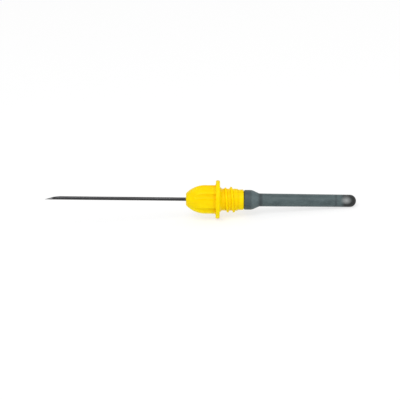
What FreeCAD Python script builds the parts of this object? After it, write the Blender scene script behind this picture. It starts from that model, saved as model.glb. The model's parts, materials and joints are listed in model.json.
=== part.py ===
import FreeCAD, Part
import Sketcher
import math
import os

from FreeCAD import Placement, Rotation, Vector

# Double-ended blood collection needle, lying at rest. Sizes are in millimetres and degrees.
# Every piece is drawn round one axis: local X runs from the front point to the sleeve's closed end.
# A size that starts with = follows the other sizes in the sheet.
SIZES = {
    # Steel tube, ground to a point at both ends
    "tube_outer_diameter": 0.908,
    "tube_inner_diameter": 0.603,
    "exposed_length": 38.0,
    "bevel_angle": 11.0,
    "bevel_setback": 0.6,
    "lancet_angle": 17.0,
    "lancet_roll": 35.0,
    # Bullet nose of the hub, with lengthwise flutes
    "nose_length": 8.0,
    "nose_diameter": 7.7,
    "dome_length": 5.2,
    "nose_face_diameter": 3.2,
    "nose_rounding": 0.7,
    "flute_count": 6,
    "flute_radius": 0.95,
    "flute_depth": 0.65,
    "flute_floor_diameter": "=nose_diameter - 2 * flute_depth",
    # Glue well in the nose, and the bore behind it
    "well_diameter": 1.9,
    "well_depth": 2.0,
    "well_chamfer": 0.15,
    "bore_clearance": 0.03,
    # Flange that meets the tube holder
    "flange_diameter": 10.3,
    "flange_thickness": 1.1,
    "flange_chamfer": 0.18,
    "nose_root_chamfer": 0.25,
    "seat_relief": 0.025,
    # Screw thread and the smooth pilot behind it
    "neck_length": 1.0,
    "thread_length": 3.8,
    "thread_pitch": 1.6,
    "thread_root_diameter": 5.9,
    "thread_depth": 0.5,
    "thread_crest_diameter": "=thread_root_diameter + 2 * thread_depth",
    "ridge_base_width": 0.95,
    "ridge_crest_width": 0.4,
    "ridge_sink": 0.1,
    "pilot_length": 1.6,
    "pilot_diameter": 5.5,
    "pilot_chamfer": 0.2,
    # Barbed boss that holds the sleeve
    "boss_neck_length": 1.1,
    "boss_neck_diameter": 2.7,
    "barb_length": 1.8,
    "barb_diameter": 3.4,
    "boss_end_diameter": 2.9,
    # Rubber sleeve over the rear point
    "sleeve_length": 30.2,
    "collar_length": 2.25,
    "collar_diameter": 5.3,
    "collar_chamfer": 0.3,
    "cone_length": 1.95,
    "cone_rounding": 0.9,
    "sleeve_front_diameter": 3.5,
    "sleeve_diameter": 3.3,
    "sleeve_bore_diameter": 1.5,
    "sleeve_end_wall": 1.5,
    "sleeve_fit_clearance": 0.05,
    "rear_point_gap": 1.5,
    # Cured adhesive in the well
    "adhesive_recess": 0.3,
    "adhesive_climb": 0.25,
}

doc = FreeCAD.newDocument("blood_collection_needle")


def make_sheet(sizes):
    sheet = doc.addObject("Spreadsheet::Sheet", "Sizes")
    for row, (name, size) in enumerate(sizes.items(), start=1):
        sheet.set(f"A{row}", name)
        sheet.set(f"B{row}", str(size))
        sheet.setAlias(f"B{row}", name)
    doc.recompute()
    return sheet


sheet = make_sheet(SIZES)


def value(expression):
    return float(sheet.evalExpression(expression))


def half(diameter):
    return f"Sizes.{diameter} / 2"


# Stations along the axis, from the front point at 0
HUB_FRONT = "Sizes.exposed_length"
WELL_FLOOR = f"{HUB_FRONT} + Sizes.well_depth"
DOME_END = f"{HUB_FRONT} + Sizes.dome_length"
FLANGE_FRONT = f"{HUB_FRONT} + Sizes.nose_length"
FLANGE_BACK = f"{FLANGE_FRONT} + Sizes.flange_thickness"
THREAD_FRONT = f"{FLANGE_BACK} + Sizes.neck_length"
THREAD_BACK = f"{THREAD_FRONT} + Sizes.thread_length"
HUB_BACK = f"{THREAD_BACK} + Sizes.pilot_length"
BARB_FRONT = f"{HUB_BACK} + Sizes.boss_neck_length"
BOSS_BACK = f"{BARB_FRONT} + Sizes.barb_length"
COLLAR_BACK = f"{HUB_BACK} + Sizes.collar_length"
CONE_BACK = f"{COLLAR_BACK} + Sizes.cone_length"
SLEEVE_BACK = f"{HUB_BACK} + Sizes.sleeve_length"
SLEEVE_BORE_BACK = f"{SLEEVE_BACK} - Sizes.sleeve_end_wall"
REAR_POINT = f"{SLEEVE_BORE_BACK} - Sizes.rear_point_gap"

TUBE_RADIUS = half("tube_outer_diameter")
BORE_RADIUS = f"{TUBE_RADIUS} + Sizes.bore_clearance"
NOSE_RADIUS = half("nose_diameter")
# The bevels at the nose's root and at the flange's rim take at most a third each of the ledge between them
THIRD_OF_LEDGE = f"({half('flange_diameter')} - {NOSE_RADIUS}) / 3"
ROOT_BEVEL = f"min(Sizes.nose_root_chamfer; {THIRD_OF_LEDGE})"
RIM_BEVEL = f"min(Sizes.flange_chamfer; {THIRD_OF_LEDGE})"
SLEEVE_FRONT_RADIUS = half("sleeve_front_diameter")
SLEEVE_RADIUS = half("sleeve_diameter")
SLEEVE_BORE_RADIUS = half("sleeve_bore_diameter")


def make_body(label):
    body = doc.addObject("PartDesign::Body", label)
    body.Label = label
    return body


def origin_plane(body, role):
    return next(item for item in body.Origin.OriginFeatures if item.Role == role)


def make_sketch(body, name, role="XZ_Plane", roll=None, station=None):
    """A lengthwise sketch that roll turns about the axis, or with YZ_Plane a cross-section at a station."""
    sketch = body.newObject("Sketcher::SketchObject", name)
    sketch.AttachmentSupport = (origin_plane(body, role), [""])
    sketch.MapMode = "FlatFace"
    if roll:
        sketch.AttachmentOffset = Placement(Vector(), Rotation(Vector(1, 0, 0), value(roll)))
        sketch.setExpression("AttachmentOffset.Rotation.Angle", roll)
    if station:
        sketch.setExpression("AttachmentOffset.Base.z", station)
    return sketch


def bind(sketch, constraint, expression):
    index = sketch.addConstraint(constraint)
    sketch.setExpression(f"Constraints[{index}]", expression)


def arc_between(start, end, radius, turn):
    """The short arc from start to end; turn is 1 for a left-hand curve and -1 for a right-hand one."""
    middle = (start + end) / 2
    chord = end - start
    rise = math.sqrt(max(radius**2 - (chord.Length / 2) ** 2, 0))
    centre = middle + Vector(-chord.y, chord.x, 0).normalize() * rise * turn
    first, last = (start, end) if turn > 0 else (end, start)
    angles = [math.atan2(point.y - centre.y, point.x - centre.x) for point in (first, last)]
    if angles[1] < angles[0]:
        angles[1] += 2 * math.pi
    return Part.ArcOfCircle(Part.Circle(centre, Vector(0, 0, 1), radius), *angles)


def draw_outline(sketch, corners, arcs=None):
    """Closed outline through (x, y) expressions; arcs maps a corner's index to (radius, turn) for its next edge."""
    arcs = arcs or {}
    points = [Vector(value(x), value(y), 0) for x, y in corners]
    ends = []
    for index, start in enumerate(points):
        end = points[(index + 1) % len(points)]
        if index in arcs:
            radius, turn = arcs[index]
            edge = sketch.addGeometry(arc_between(start, end, value(radius), turn))
            ends.append((edge, 1, 2) if turn > 0 else (edge, 2, 1))
            bind(sketch, Sketcher.Constraint("Radius", edge, value(radius)), radius)
        else:
            edge = sketch.addGeometry(Part.LineSegment(start, end))
            ends.append((edge, 1, 2))
    for index, (x, y) in enumerate(corners):
        edge, start, _ = ends[index]
        last_edge, _, last_end = ends[index - 1]
        sketch.addConstraint(Sketcher.Constraint("Coincident", last_edge, last_end, edge, start))
        for kind, axis_line, expression in (("DistanceX", -2, x), ("DistanceY", -1, y)):
            if expression == "0":
                sketch.addConstraint(Sketcher.Constraint("PointOnObject", edge, start, axis_line))
            else:
                bind(sketch, Sketcher.Constraint(kind, -1, 1, edge, start, value(expression)), expression)


def revolve(body, name, corners, arcs=None, cut=False):
    """A profile turned about the needle's axis, added to the body or cut from it."""
    sketch = make_sketch(body, f"{name}_profile")
    draw_outline(sketch, corners, arcs)
    kind = "PartDesign::Groove" if cut else "PartDesign::Revolution"
    turned = body.newObject(kind, name)
    turned.Profile = sketch
    turned.ReferenceAxis = (sketch, ["H_Axis"])
    turned.Angle = 360
    doc.recompute()
    return turned


def ring_edges(shape, rings):
    """Names of the circular edges centred on the axis at each (station, radius)."""
    names = []
    for station, radius in rings:
        for index, edge in enumerate(shape.Edges, start=1):
            if edge.Degenerated or not isinstance(edge.Curve, Part.Circle):
                continue
            centre = Vector(value(station), 0, 0)
            if edge.Curve.Center.isEqual(centre, 1e-4) and abs(edge.Curve.Radius - value(radius)) < 1e-4:
                names.append(f"Edge{index}")
    return names


def dress_edges(body, kind, name, rings, size):
    """A fillet or chamfer on ring edges of the body's last feature."""
    base = body.Tip
    dressed = body.newObject(f"PartDesign::{kind}", name)
    dressed.Base = (base, ring_edges(base.Shape, rings))
    dressed.setExpression("Radius" if kind == "Fillet" else "Size", size)
    doc.recompute()
    return dressed


def check_cut(before, body, name):
    """A cut that points away from the solid would leave its volume unchanged."""
    doc.recompute()
    if body.Shape.Volume > before - 1e-6:
        raise RuntimeError(f"{name} removed nothing")


# Steel tube with a lancet point at each end
def grind(body, name, along, slope, rise_from, setback, roll=None):
    """Cuts away what lies above a plane that rises from the point; along turns a distance into a station."""
    sketch = make_sketch(body, f"{name}_outline", roll=roll)
    run_out = f"2 * {TUBE_RADIUS}"
    top = f"2 * {TUBE_RADIUS}"
    floor = f"{rise_from} - ({run_out} - {setback}) * tan({slope})"
    reach = f"({top} - {rise_from}) / tan({slope}) - {setback}"
    corners = [(along(f"-({run_out})"), floor), (along(reach), top), (along(f"-({run_out})"), top)]
    draw_outline(sketch, corners)
    before = body.Shape.Volume
    cut = body.newObject("PartDesign::Pocket", name)
    cut.Profile = sketch
    cut.Type = "ThroughAll"
    cut.SideType = "Symmetric"
    check_cut(before, body, name)


def make_cannula():
    body = make_body("cannula")
    ring = make_sketch(body, "tube_section", "YZ_Plane")
    for diameter in ("tube_outer_diameter", "tube_inner_diameter"):
        circle = Part.Circle(Vector(), Vector(0, 0, 1), value(half(diameter)))
        edge = ring.addGeometry(circle)
        ring.addConstraint(Sketcher.Constraint("Coincident", edge, 3, -1, 1))
        bind(ring, Sketcher.Constraint("Radius", edge, value(half(diameter))), half(diameter))
    tube = body.newObject("PartDesign::Pad", "tube")
    tube.Profile = ring
    tube.setExpression("Length", REAR_POINT)
    doc.recompute()
    ends = {"front": lambda run: f"({run})", "rear": lambda run: f"{REAR_POINT} - ({run})"}
    lancet_floor = f"-{TUBE_RADIUS} * cos(Sizes.lancet_roll)"
    for end, along in ends.items():
        grind(body, f"{end}_bevel", along, "Sizes.bevel_angle", f"-{TUBE_RADIUS}", "Sizes.bevel_setback")
        for side, roll in (("left", "Sizes.lancet_roll"), ("right", "-Sizes.lancet_roll")):
            grind(body, f"{end}_lancet_{side}", along, "Sizes.lancet_angle", lancet_floor, "0", roll)
    return body


# Moulded hub: nose, flange, thread, pilot and boss in one piece
def turn_hub(body):
    drop = f"({NOSE_RADIUS} - {half('nose_face_diameter')})"
    dome_radius = f"(Sizes.dome_length * Sizes.dome_length + {drop} * {drop}) / (2 * {drop})"
    corners = [
        (HUB_FRONT, "0"),
        (HUB_FRONT, half("nose_face_diameter")),
        (DOME_END, NOSE_RADIUS),
        (FLANGE_FRONT, NOSE_RADIUS),
        (FLANGE_FRONT, half("flange_diameter")),
        (FLANGE_BACK, half("flange_diameter")),
        (FLANGE_BACK, half("thread_root_diameter")),
        (THREAD_BACK, half("thread_root_diameter")),
        (THREAD_BACK, half("pilot_diameter")),
        (HUB_BACK, half("pilot_diameter")),
        (HUB_BACK, half("boss_neck_diameter")),
        (BARB_FRONT, half("boss_neck_diameter")),
        (BARB_FRONT, half("barb_diameter")),
        (BOSS_BACK, half("boss_end_diameter")),
        (BOSS_BACK, "0"),
    ]
    revolve(body, "hub_turning", corners, arcs={1: (dome_radius, -1)})


def round_hub(body):
    nose_rim = [(HUB_FRONT, half("nose_face_diameter"))]
    nose_root = [(FLANGE_FRONT, NOSE_RADIUS)]
    flange_rim = [(FLANGE_FRONT, half("flange_diameter")), (FLANGE_BACK, half("flange_diameter"))]
    neck_root = [(FLANGE_BACK, half("thread_root_diameter"))]
    # The neck's bevel ends just outside the thread's crest, so the seat round it is flat
    neck_bevel = f"{half('thread_crest_diameter')} + Sizes.seat_relief - {half('thread_root_diameter')}"
    dress_edges(body, "Fillet", "nose_rounding", nose_rim, "Sizes.nose_rounding")
    dress_edges(body, "Chamfer", "nose_root_bevel", nose_root, ROOT_BEVEL)
    dress_edges(body, "Chamfer", "flange_rim_bevel", flange_rim, RIM_BEVEL)
    dress_edges(body, "Chamfer", "neck_bevel", neck_root, neck_bevel)
    dress_edges(body, "Chamfer", "pilot_lead", [(HUB_BACK, half("pilot_diameter"))], "Sizes.pilot_chamfer")


def cut_flutes(body):
    """Equal round-bottomed flutes from the flange forwards, each running out on the dome."""
    sketch = make_sketch(body, "flute_section", "YZ_Plane", station=FLANGE_FRONT)
    centre_height = f"{half('flute_floor_diameter')} + Sizes.flute_radius"
    circle = Part.Circle(Vector(0, value(centre_height), 0), Vector(0, 0, 1), value("Sizes.flute_radius"))
    edge = sketch.addGeometry(circle)
    sketch.addConstraint(Sketcher.Constraint("PointOnObject", edge, 3, -2))
    bind(sketch, Sketcher.Constraint("DistanceY", -1, 1, edge, 3, value(centre_height)), centre_height)
    bind(sketch, Sketcher.Constraint("Radius", edge, value("Sizes.flute_radius")), "Sizes.flute_radius")
    before = body.Shape.Volume
    flute = body.newObject("PartDesign::Pocket", "flute")
    flute.Profile = sketch
    flute.Type = "Length"
    flute.setExpression("Length", "Sizes.nose_length")
    check_cut(before, body, "flute")
    before = body.Shape.Volume
    ring = body.newObject("PartDesign::PolarPattern", "flute_ring")
    ring.Originals = [flute]
    ring.Axis = (sketch, ["N_Axis"])
    ring.Angle = 360
    ring.setExpression("Occurrences", "Sizes.flute_count")
    body.Tip = ring
    check_cut(before, body, "flute_ring")


def add_thread(body):
    """A raised right-hand ridge that winds from the neck to the pilot."""
    sketch = make_sketch(body, "ridge_section")
    flank = "(Sizes.ridge_base_width - Sizes.ridge_crest_width) / 2"
    sunk = f"{half('thread_root_diameter')} - Sizes.ridge_sink"
    crest = half("thread_crest_diameter")
    corners = [
        (THREAD_FRONT, sunk),
        (f"{THREAD_FRONT} + {flank}", crest),
        (f"{THREAD_FRONT} + {flank} + Sizes.ridge_crest_width", crest),
        (f"{THREAD_FRONT} + Sizes.ridge_base_width", sunk),
    ]
    draw_outline(sketch, corners)
    before = body.Shape.Volume
    ridge = body.newObject("PartDesign::AdditiveHelix", "thread")
    ridge.Profile = sketch
    ridge.ReferenceAxis = (sketch, ["H_Axis"])
    ridge.Mode = "pitch-height-angle"
    ridge.setExpression("Pitch", "Sizes.thread_pitch")
    ridge.setExpression("Height", "Sizes.thread_length - Sizes.ridge_base_width")
    doc.recompute()
    if body.Shape.Volume < before + 1e-6:
        raise RuntimeError("the thread added nothing")


def bore_hub(body):
    """The through bore for the tube, and the wider well in front that takes the adhesive."""
    well_radius = half("well_diameter")
    corners = [
        (HUB_FRONT, "0"),
        (HUB_FRONT, f"{well_radius} + Sizes.well_chamfer"),
        (f"{HUB_FRONT} + Sizes.well_chamfer", well_radius),
        (WELL_FLOOR, well_radius),
        (WELL_FLOOR, BORE_RADIUS),
        (BOSS_BACK, BORE_RADIUS),
        (BOSS_BACK, "0"),
    ]
    before = body.Shape.Volume
    revolve(body, "bore_and_well", corners, cut=True)
    check_cut(before, body, "bore_and_well")


def make_hub():
    body = make_body("hub")
    turn_hub(body)
    round_hub(body)
    cut_flutes(body)
    add_thread(body)
    bore_hub(body)
    return body


# Adhesive that fills the well round the tube
def make_adhesive():
    body = make_body("adhesive")
    well_radius = half("well_diameter")
    meniscus = f"{well_radius} - {TUBE_RADIUS}"
    corners = [
        (WELL_FLOOR, TUBE_RADIUS),
        (f"{HUB_FRONT} + Sizes.adhesive_recess - Sizes.adhesive_climb", TUBE_RADIUS),
        (f"{HUB_FRONT} + Sizes.adhesive_recess", well_radius),
        (WELL_FLOOR, well_radius),
    ]
    revolve(body, "adhesive_fill", corners, arcs={1: (meniscus, 1)})
    return body


# Rubber sleeve: collar on the boss, cone, and a thin closed tube
def make_sleeve():
    body = make_body("sleeve")
    gap = "Sizes.sleeve_fit_clearance"
    corners = [
        (HUB_BACK, half("collar_diameter")),
        (COLLAR_BACK, half("collar_diameter")),
        (CONE_BACK, SLEEVE_FRONT_RADIUS),
        (f"{SLEEVE_BACK} - {SLEEVE_RADIUS}", SLEEVE_RADIUS),
        (SLEEVE_BACK, "0"),
        (SLEEVE_BORE_BACK, "0"),
        (f"{SLEEVE_BORE_BACK} - {SLEEVE_BORE_RADIUS}", SLEEVE_BORE_RADIUS),
        (f"{BOSS_BACK} + {gap}", SLEEVE_BORE_RADIUS),
        (f"{BOSS_BACK} + {gap}", f"{half('boss_end_diameter')} + {gap}"),
        (f"{BARB_FRONT} - {gap}", f"{half('barb_diameter')} + {gap}"),
        (f"{BARB_FRONT} - {gap}", f"{half('boss_neck_diameter')} + {gap}"),
        (HUB_BACK, f"{half('boss_neck_diameter')} + {gap}"),
    ]
    ends = {3: (SLEEVE_RADIUS, -1), 5: (SLEEVE_BORE_RADIUS, 1)}
    revolve(body, "sleeve_moulding", corners, ends)
    collar = [(HUB_BACK, half("collar_diameter")), (COLLAR_BACK, half("collar_diameter"))]
    dress_edges(body, "Chamfer", "collar_bevel", collar, "Sizes.collar_chamfer")
    dress_edges(body, "Fillet", "cone_rounding", [(CONE_BACK, SLEEVE_FRONT_RADIUS)], "Sizes.cone_rounding")
    return body


# At rest the flange's back rim and the sleeve's round end touch the ground
def rest_placement():
    rim_station = value(f"{FLANGE_BACK} - {RIM_BEVEL}")
    rim_drop = value(half("flange_diameter"))
    end_round = value(SLEEVE_RADIUS)
    end_station = value(SLEEVE_BACK) - end_round
    span = end_station - rim_station
    tilt = math.atan2(rim_drop, span) - math.asin(end_round / math.hypot(span, rim_drop))
    height = rim_station * math.sin(tilt) + rim_drop * math.cos(tilt)
    front_x = -value(TUBE_RADIUS) * math.sin(tilt)
    back_x = end_station * math.cos(tilt) + end_round
    base = Vector(-(front_x + back_x) / 2, 0, height)
    return Placement(base, Rotation(Vector(0, 1, 0), math.degrees(tilt)))


def check_document(bodies):
    for item in doc.Objects:
        if "Invalid" in item.State or "Error" in item.State:
            raise RuntimeError(f"{item.Name} did not build: {item.State}")
    for body in bodies:
        if body.Shape.isNull() or not body.Shape.isValid() or len(body.Shape.Solids) != 1:
            raise RuntimeError(f"{body.Label} is not one sound solid")


bodies = [make_cannula(), make_hub(), make_adhesive(), make_sleeve()]
for body in bodies:
    body.Placement = rest_placement()
doc.recompute()
check_document(bodies)
os.makedirs("parts", exist_ok=True)
for body in bodies:
    body.Shape.exportStep(f"parts/{body.Label}.step")
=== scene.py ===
import json
import math

import bpy
from mathutils import Matrix, Vector


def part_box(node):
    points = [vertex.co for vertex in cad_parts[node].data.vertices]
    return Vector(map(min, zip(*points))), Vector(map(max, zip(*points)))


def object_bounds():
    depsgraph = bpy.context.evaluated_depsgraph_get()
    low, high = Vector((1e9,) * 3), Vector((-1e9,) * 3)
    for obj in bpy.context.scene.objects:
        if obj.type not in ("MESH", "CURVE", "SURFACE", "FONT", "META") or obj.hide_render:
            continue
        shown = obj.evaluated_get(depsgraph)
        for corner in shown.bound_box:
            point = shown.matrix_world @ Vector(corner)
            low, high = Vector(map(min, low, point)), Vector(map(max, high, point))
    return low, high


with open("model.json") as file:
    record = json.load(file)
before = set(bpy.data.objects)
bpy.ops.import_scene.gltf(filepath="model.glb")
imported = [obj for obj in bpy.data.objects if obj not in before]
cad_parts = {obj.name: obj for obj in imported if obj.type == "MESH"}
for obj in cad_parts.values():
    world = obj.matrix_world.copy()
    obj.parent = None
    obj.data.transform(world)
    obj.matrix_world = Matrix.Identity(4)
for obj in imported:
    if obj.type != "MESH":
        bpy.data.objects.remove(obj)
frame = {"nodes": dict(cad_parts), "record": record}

CAD_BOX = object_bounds()
MILLIMETRE = 0.001

# The needle's own axis comes from the frame: a point on it and its direction towards the sleeve's end
PILOT = next(mount for mount in frame["record"]["mounts"] if mount["name"] == "thread_pilot")
AXIS = Vector(PILOT["axis"]).normalized()
AXIS_POINT = Vector(PILOT["pos_m"])
TILT = math.atan2(-AXIS.z, AXIS.x)
SIDE_UP = Vector((-AXIS.z, 0, AXIS.x))

# The photograph's camera, closed in on the square of its frame that holds the needle
PHOTO_FOCAL_PIXELS = 770
PHOTO_CROP_PIXELS = 112
SENSOR_MM = 36
VIEW_ELEVATION = 21
VIEW_ROLL = 0.58
VIEW_DISTANCE = 0.739
# The needle's middle lies a little right of and above the middle of that square
AIM_BACK_MM = 0.05
AIM_DOWN_MM = 0.2

# Soft, plain light. The eye and mirrors see a brighter world and floor than the ones that light the needle
SOFTBOXES = {
    "key": {"place": (-0.12, -0.38, 0.6), "size": 0.45, "power": 1.95},
    "fill": {"place": (0.5, -0.5, 0.35), "size": 0.5, "power": 0.8},
}
WORLD_SEEN = 1.0
WORLD_LIGHT = 0.62
FLOOR_HALF_SIDE = 3
FLOOR_FACE = 0.34
FLOOR_GLOW = 0.7
FLOOR_BOUNCE = 0.97


def linear(red, green, blue):
    """A colour written as it looks on screen, from 0 to 255, as the linear values that shaders take."""
    def channel(level):
        level /= 255
        return level / 12.92 if level <= 0.04045 else ((level + 0.055) / 1.055) ** 2.4
    return (channel(red), channel(green), channel(blue), 1)


def grey(level):
    return (level, level, level, 1)


class Shader:
    """A node material that is built up step by step round one Principled shader."""

    def __init__(self, name, **levels):
        self.material = bpy.data.materials.new(name)
        self.material.use_nodes = True
        self.tree = self.material.node_tree
        self.surface = self.tree.nodes["Principled BSDF"]
        for socket, level in levels.items():
            self.surface.inputs[socket.replace("_", " ")].default_value = level

    def feed(self, socket, source):
        if isinstance(source, bpy.types.NodeSocket):
            self.tree.links.new(source, socket)
        else:
            socket.default_value = source

    def add(self, kind, inputs=None, **settings):
        node = self.tree.nodes.new(kind)
        for setting, choice in settings.items():
            setattr(node, setting, choice)
        for socket, source in (inputs or {}).items():
            self.feed(node.inputs[socket], source)
        return node

    def needle_coordinates(self):
        """Millimetres in the needle's own frame: X along the axis, with the axis at Y 0 and Z 0."""
        inputs = {
            "Vector": self.add("ShaderNodeTexCoord").outputs["Object"],
            "Location": AXIS_POINT,
            "Rotation": (0, TILT, 0),
            "Scale": (MILLIMETRE,) * 3,
        }
        return self.add("ShaderNodeMapping", inputs, vector_type="TEXTURE").outputs["Vector"]

    def split(self, vector):
        return self.add("ShaderNodeSeparateXYZ", {"Vector": vector}).outputs

    def vector_math(self, operation, vector, second=(0, 0, 0), output="Vector"):
        return self.add("ShaderNodeVectorMath", {0: vector, 1: second}, operation=operation).outputs[output]

    def stretched(self, vector, factors):
        return self.vector_math("MULTIPLY", vector, factors)

    def compute(self, operation, first, second=0.0):
        return self.add("ShaderNodeMath", {0: first, 1: second}, operation=operation).outputs["Value"]

    def scaled(self, source, factor):
        return self.compute("MULTIPLY", source, factor)

    def noise(self, vector, scale, detail=3, roughness=0.5):
        inputs = {"Vector": vector, "Scale": scale, "Detail": detail, "Roughness": roughness}
        return self.add("ShaderNodeTexNoise", inputs).outputs["Fac"]

    def spread(self, source, low, high, to_low=0, to_high=1):
        """Maps low..high of the source to to_low..to_high, and holds the ends."""
        inputs = {"Value": source, "From Min": low, "From Max": high, "To Min": to_low, "To Max": to_high}
        return self.add("ShaderNodeMapRange", inputs).outputs["Result"]

    def band(self, source, start, end, soft):
        """1 between start and end, 0 outside, with soft flanks."""
        rise = self.spread(source, start - soft, start)
        return self.scaled(rise, self.spread(source, end, end + soft, 1, 0))

    def blend(self, share, first, second):
        mix = self.add("ShaderNodeMix", data_type="RGBA")
        for name, source in (("Factor_Float", share), ("A_Color", first), ("B_Color", second)):
            self.feed(next(socket for socket in mix.inputs if socket.identifier == name), source)
        return next(socket for socket in mix.outputs if socket.identifier == "Result_Color")

    def bump(self, height, depth_mm, below=None):
        inputs = {"Height": height, "Distance": depth_mm * MILLIMETRE}
        if below:
            inputs["Normal"] = below
        return self.add("ShaderNodeBump", inputs).outputs["Normal"]

    def soft_edges(self, radius_mm):
        return self.add("ShaderNodeBevel", {"Radius": radius_mm * MILLIMETRE}, samples=6).outputs["Normal"]

    def finish(self, colour, roughness, normal):
        self.feed(self.surface.inputs["Base Color"], colour)
        self.feed(self.surface.inputs["Roughness"], roughness)
        self.feed(self.surface.inputs["Normal"], normal)
        return self.material


def hub_plastic():
    """Yellow plastic: flow clouds, painted shade in a warmer yellow in the hollows, painted bounced light as
    a paler, greener yellow on the underside, mould grain and a parting line.
    """
    deep, pale = linear(250, 214, 1), linear(254, 224, 3)
    painted_bounce_lemon, painted_hollow_shade = linear(254, 233, 2), linear(248, 190, 2)
    shader = Shader("yellow_plastic", Specular_IOR_Level=0.06, Subsurface_Weight=0.15)
    shader.surface.inputs["Subsurface Scale"].default_value = 0.8 * MILLIMETRE
    shader.surface.inputs["Subsurface Radius"].default_value = (1.0, 0.7, 0.1)
    place = shader.needle_coordinates()
    height = shader.split(place)["Z"]

    clouds = shader.noise(shader.stretched(place, (0.5, 1, 1)), 0.55, detail=4)
    reach = {"Distance": 0.9 * MILLIMETRE}
    hollow_shade_openness = shader.add("ShaderNodeAmbientOcclusion", reach, samples=8).outputs["AO"]
    colour = shader.blend(shader.spread(clouds, 0.35, 0.65), deep, pale)
    # Painted light: the underside is painted a paler, greener yellow, standing in for light bounced up from
    # the floor
    colour = shader.blend(shader.spread(height, -3.0, -0.6, 0.85, 0), colour, painted_bounce_lemon)
    # Painted shade: hollows that the occlusion finds closed in are painted a warmer, darker yellow
    colour = shader.blend(shader.spread(hollow_shade_openness, 0.4, 0.96, 0.9, 0), colour, painted_hollow_shade)

    waves = shader.noise(shader.stretched(place, (0.6, 1, 1)), 1.3, detail=2)
    grain = shader.noise(place, 9, detail=2)
    parting = shader.spread(shader.compute("ABSOLUTE", height), 0.03, 0.09, 1, 0)
    normal = shader.bump(waves, 0.05, shader.soft_edges(0.09))
    normal = shader.bump(grain, 0.006, normal)
    normal = shader.bump(parting, 0.02, normal)
    return shader.finish(colour, shader.spread(clouds, 0.3, 0.7, 0.3, 0.4), normal)


def sleeve_rubber():
    """Slate rubber: uneven colour, a waxy bloom, mould rings, darker bands with painted shade among them, a
    painted highlight on the shoulder and a dark closed end with a painted sheen.
    """
    dark, light = linear(62, 77, 79), linear(80, 95, 97)
    bloom, cone_highlight = linear(112, 124, 126), linear(108, 124, 128)
    band_and_shade_dark, closed, painted_sheen = linear(40, 48, 52), linear(12, 13, 13), linear(158, 162, 162)
    shader = Shader("grey_rubber", Specular_IOR_Level=0.4)
    place = shader.needle_coordinates()
    along = shader.split(place)["X"]
    # The sleeve's two ends on the needle's axis, in millimetres
    front, end = ((corner.x - AXIS_POINT.x) / AXIS.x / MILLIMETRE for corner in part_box("sleeve"))

    clouds = shader.noise(shader.stretched(place, (0.4, 1, 1)), 0.8, detail=5)
    colour = shader.blend(shader.spread(clouds, 0.35, 0.65), dark, light)
    wax = shader.noise(place, 2.6, detail=6, roughness=0.65)
    colour = shader.blend(shader.spread(wax, 0.52, 0.75, 0, 0.35), colour, bloom)

    # Darker bands over the collar, painted shade at the foot of the shoulder, and a ring before the closed
    # end: start, stop, softness, strength
    bands = (
        (front + 0.5, front + 2.1, 0.4, 0.5),
        (front + 4.6, front + 5.0, 0.5, 1),
        (end - 5.6, end - 5.3, 0.3, 0.6),
    )
    dark_bands_and_shade = 0.0
    for start, stop, soft, strength in bands:
        ring = shader.scaled(shader.band(along, start, stop, soft), strength)
        dark_bands_and_shade = shader.compute("MAXIMUM", dark_bands_and_shade, ring)
    colour = shader.blend(shader.scaled(dark_bands_and_shade, 0.75), colour, band_and_shade_dark)
    # Painted highlight: the shoulder behind the collar is painted a lighter slate, where a glossy slope
    # would catch the light
    cone_highlight_share = shader.scaled(shader.band(along, front + 2.6, front + 3.7, 0.5), 0.25)
    colour = shader.blend(cone_highlight_share, colour, cone_highlight)

    # The closed end darkens in two steps, and carries a painted sheen, a soft light patch where a glossy
    # highlight would sit, on each flank
    darker = shader.spread(along, end - 4.1, end - 3.1, 0, 0.93)
    darkest = shader.spread(along, end - 2.0, end - 0.9)
    colour = shader.blend(shader.compute("MAXIMUM", darker, darkest), colour, closed)
    from_centre = shader.vector_math("ADD", place, (2.7 - end, 0, -0.6))
    sheen_oval = shader.vector_math("LENGTH", shader.stretched(from_centre, (0.8, 0, 1.1)), output="Value")
    colour = shader.blend(shader.spread(sheen_oval, 0.2, 1.25, 0.8, 0), colour, painted_sheen)

    rings = shader.noise(shader.stretched(place, (1, 0.05, 0.05)), 3.2)
    grain = shader.noise(place, 14, detail=2)
    normal = shader.bump(rings, 0.02, shader.soft_edges(0.15))
    normal = shader.bump(grain, 0.005, normal)
    return shader.finish(colour, shader.spread(clouds, 0.3, 0.7, 0.42, 0.6), normal)


def tube_steel():
    """Drawn stainless tube: streaks along its length, and grinding marks across the brighter bevels. The
    tube's very dark base colour is painted shade, standing in for dark surroundings reflected in the steel.
    """
    shader = Shader("steel", Metallic=1.0)
    shader.surface.inputs["Specular Tint"].default_value = (0.15, 0.15, 0.16, 1)
    place = shader.needle_coordinates()
    streaks = shader.noise(shader.stretched(place, (0.12, 9, 9)), 1, detail=4)
    marks = shader.noise(shader.stretched(place, (16, 1.2, 1.2)), 1)

    # A face that looks along the axis has been ground
    face = shader.add("ShaderNodeNewGeometry").outputs["True Normal"]
    facing = shader.compute("ABSOLUTE", shader.vector_math("DOT_PRODUCT", face, AXIS, output="Value"))
    ground = shader.spread(facing, 0.08, 0.12)
    texture = shader.blend(ground, streaks, marks)
    share = shader.spread(texture, 0.3, 0.7)
    # Painted shade: the tube body is painted very dark, as if it mirrored dark surroundings; the bevels keep
    # a brighter steel tone
    dark_reflection_drawn = shader.blend(share, (0.027, 0.027, 0.029, 1), (0.08, 0.08, 0.083, 1))
    bright = shader.blend(share, (0.3, 0.3, 0.31, 1), (0.45, 0.45, 0.46, 1))
    colour = shader.blend(ground, dark_reflection_drawn, bright)
    return shader.finish(colour, shader.spread(texture, 0.3, 0.7, 0.12, 0.24), shader.bump(texture, 0.002))


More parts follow.
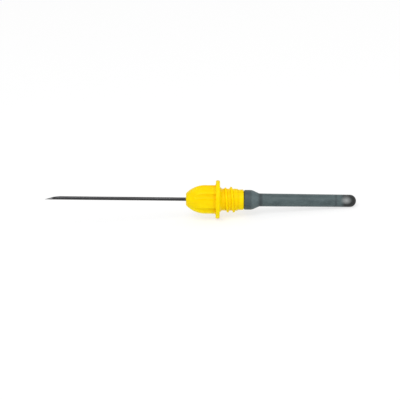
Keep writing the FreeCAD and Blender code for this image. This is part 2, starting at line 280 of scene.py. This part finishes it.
def well_adhesive():
    """Cured adhesive: clear and glossy, slightly cloudy, with tiny trapped bubbles."""
    cloudy, clear = linear(250, 236, 150), linear(255, 248, 205)
    shader = Shader("cured_adhesive", Transmission_Weight=0.55, IOR=1.5)
    place = shader.needle_coordinates()
    clouds = shader.noise(place, 2.2, detail=4)
    colour = shader.blend(shader.spread(clouds, 0.3, 0.7), cloudy, clear)
    bubbles = shader.add("ShaderNodeTexVoronoi", {"Vector": place, "Scale": 5.0}).outputs["Distance"]
    pits = shader.spread(bubbles, 0.08, 0.16)
    return shader.finish(colour, shader.spread(clouds, 0.3, 0.7, 0.08, 0.2), shader.bump(pits, 0.01))


def dress_nodes():
    """Gives each construction node its material."""
    looks = {"hub": hub_plastic, "sleeve": sleeve_rubber, "cannula": tube_steel, "adhesive": well_adhesive}
    for name, make_material in looks.items():
        piece = frame["nodes"][name]
        piece.data.materials.clear()
        piece.data.materials.append(make_material())


def seen_or_lit(tree, seen, lit):
    """A mix that shows one shader to the eye and to mirrors, and lights the object with the other."""
    path = tree.nodes.new("ShaderNodeLightPath")
    share = path.outputs["Is Camera Ray"]
    for ray in ("Is Glossy Ray", "Is Transmission Ray"):
        either = tree.nodes.new("ShaderNodeMath")
        either.operation = "MAXIMUM"
        tree.links.new(share, either.inputs[0])
        tree.links.new(path.outputs[ray], either.inputs[1])
        share = either.outputs["Value"]
    mix = tree.nodes.new("ShaderNodeMixShader")
    tree.links.new(share, mix.inputs["Fac"])
    tree.links.new(lit, mix.inputs[1])
    tree.links.new(seen, mix.inputs[2])
    return mix.outputs["Shader"]


def floor_material():
    """Pale floor that looks white in the open and keeps a soft shadow under the needle."""
    material = bpy.data.materials.new("pale_floor")
    material.use_nodes = True
    tree = material.node_tree
    tree.nodes.remove(tree.nodes["Principled BSDF"])
    bounce = tree.nodes.new("ShaderNodeBsdfDiffuse")
    bounce.inputs["Color"].default_value = grey(FLOOR_BOUNCE)
    face = tree.nodes.new("ShaderNodeBsdfDiffuse")
    face.inputs["Color"].default_value = grey(FLOOR_FACE)
    glow = tree.nodes.new("ShaderNodeEmission")
    glow.inputs["Strength"].default_value = FLOOR_GLOW
    both = tree.nodes.new("ShaderNodeAddShader")
    tree.links.new(face.outputs["BSDF"], both.inputs[0])
    tree.links.new(glow.outputs["Emission"], both.inputs[1])
    surface = seen_or_lit(tree, both.outputs["Shader"], bounce.outputs["BSDF"])
    tree.links.new(surface, tree.nodes["Material Output"].inputs["Surface"])
    return material


def make_floor():
    mesh = bpy.data.meshes.new("floor")
    sides = ((-1, -1), (1, -1), (1, 1), (-1, 1))
    mesh.from_pydata([(x * FLOOR_HALF_SIDE, y * FLOOR_HALF_SIDE, 0) for x, y in sides], [], [(0, 1, 2, 3)])
    mesh.materials.append(floor_material())
    floor = bpy.data.objects.new("floor", mesh)
    bpy.context.scene.collection.objects.link(floor)


def make_world():
    world = bpy.data.worlds.new("studio")
    world.use_nodes = True
    tree = world.node_tree
    shades = []
    for strength in (WORLD_SEEN, WORLD_LIGHT):
        shade = tree.nodes.new("ShaderNodeBackground")
        shade.inputs["Color"].default_value = grey(1)
        shade.inputs["Strength"].default_value = strength
        shades.append(shade.outputs["Background"])
    surface = seen_or_lit(tree, *shades)
    tree.links.new(surface, tree.nodes["World Output"].inputs["Surface"])
    bpy.context.scene.world = world


def add_softbox(name, place, size, power):
    """A round area light that points at the origin."""
    light = bpy.data.lights.new(name, "AREA")
    light.shape = "DISK"
    light.size = size
    light.energy = power
    lamp = bpy.data.objects.new(name, light)
    lamp.location = place
    lamp.rotation_euler = (-Vector(place)).to_track_quat("-Z", "Y").to_euler()
    bpy.context.scene.collection.objects.link(lamp)


def make_camera():
    """The photograph's viewing angle, square to the needle's axis, with the needle in the middle."""
    box_middle = (CAD_BOX[0].x + CAD_BOX[1].x) / 2
    along = (box_middle - AXIS_POINT.x) / AXIS.x - AIM_BACK_MM * MILLIMETRE
    target = AXIS_POINT + AXIS * along - SIDE_UP * AIM_DOWN_MM * MILLIMETRE
    elevation = math.radians(VIEW_ELEVATION)
    back = SIDE_UP * math.sin(elevation) - Vector((0, 1, 0)) * math.cos(elevation)
    right = Matrix.Rotation(math.radians(VIEW_ROLL), 3, back) @ AXIS
    axes = Matrix((right, back.cross(right), back)).transposed().to_4x4()
    camera = bpy.data.objects.new("camera", bpy.data.cameras.new("camera"))
    camera.data.sensor_width = SENSOR_MM
    camera.data.lens = SENSOR_MM * PHOTO_FOCAL_PIXELS / PHOTO_CROP_PIXELS
    camera.data.clip_start = 0.01
    camera.matrix_world = Matrix.Translation(target + back * VIEW_DISTANCE) @ axes
    bpy.context.scene.collection.objects.link(camera)
    bpy.context.scene.camera = camera


dress_nodes()
make_floor()
make_world()
for name, softbox in SOFTBOXES.items():
    add_softbox(name, **softbox)
make_camera()
bpy.context.scene.view_settings.view_transform = "Standard"
